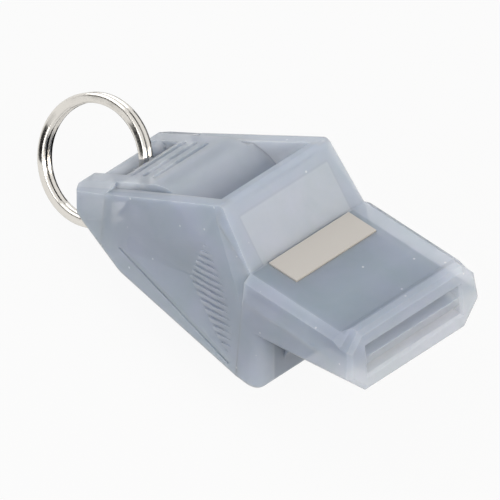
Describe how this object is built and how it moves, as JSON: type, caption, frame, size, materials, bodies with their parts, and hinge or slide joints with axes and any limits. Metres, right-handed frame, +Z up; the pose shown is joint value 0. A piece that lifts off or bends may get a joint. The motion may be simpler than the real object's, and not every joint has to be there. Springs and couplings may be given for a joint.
{
  "type": "sports whistle",
  "caption": "Pealess sports whistle with a flared mouthpiece, stacked windways, ribbed side grips and a split ring hung on a lanyard bar in its tail.",
  "frame": {"origin": "middle of the flat base, on the whistle's middle plane", "axes": "+X forward along the mouthpiece, +Y to the whistle's left, +Z up"},
  "size_m": [0.0593, 0.0234, 0.0227],
  "materials": {
    "shell_plastic": "milky translucent moulded plastic, satin",
    "plate_plastic": "plain beige moulded plate",
    "ring_steel": "bright nickel plate on spring steel"
  },
  "bodies": {
    "whistle": {"upper_shell": "shell_plastic", "lower_shell": "shell_plastic", "windway_divider": "shell_plastic", "left_side_cover": "shell_plastic", "right_side_cover": "shell_plastic", "tail_block": "shell_plastic", "voicing_plate": "plate_plastic"},
    "ring": {"split_ring": "ring_steel"}
  },
  "joints": [
    {"name": "ring_swing", "type": "hinge", "parent": "whistle", "child": "ring", "pos_m": [-0.02011, 0, 0.0063], "axis": [0, 1, 0], "range_deg": [-32, 20]}
  ]
}
